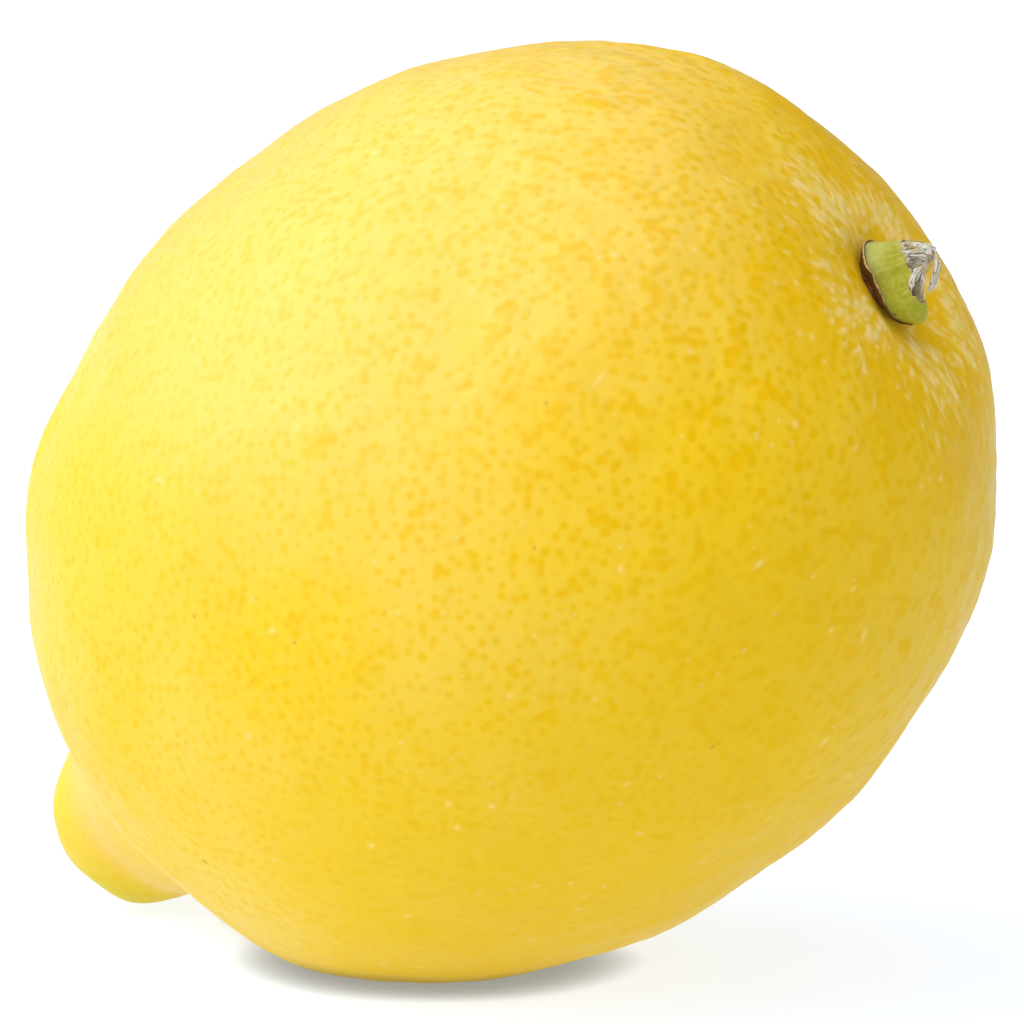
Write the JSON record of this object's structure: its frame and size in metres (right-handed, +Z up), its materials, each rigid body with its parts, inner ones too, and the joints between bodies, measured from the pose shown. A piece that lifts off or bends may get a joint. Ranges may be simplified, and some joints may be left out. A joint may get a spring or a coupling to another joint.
{
  "type": "whole lemon",
  "caption": "Whole lemon lying tilted on a small flat spot, with a blunt nipple at one end and a green calyx button with the torn stem stump at the other.",
  "frame": {"origin": "middle of the small flat spot that the lemon rests on", "axes": "+Z up; +X level, under the lemon's own axis, towards its stem end, which rises 35 degrees above it; +Y level, to the left when looking along +X"},
  "size_m": [0.071, 0.0602, 0.0633],
  "materials": {
    "peel": "waxy semi-gloss lemon peel with fine oil-gland dimples",
    "calyx": "dull olive green with a dry brown rim and a torn grey end"
  },
  "bodies": {
    "root": {"fruit": "peel", "stem_button": "calyx"}
  },
  "joints": []
}
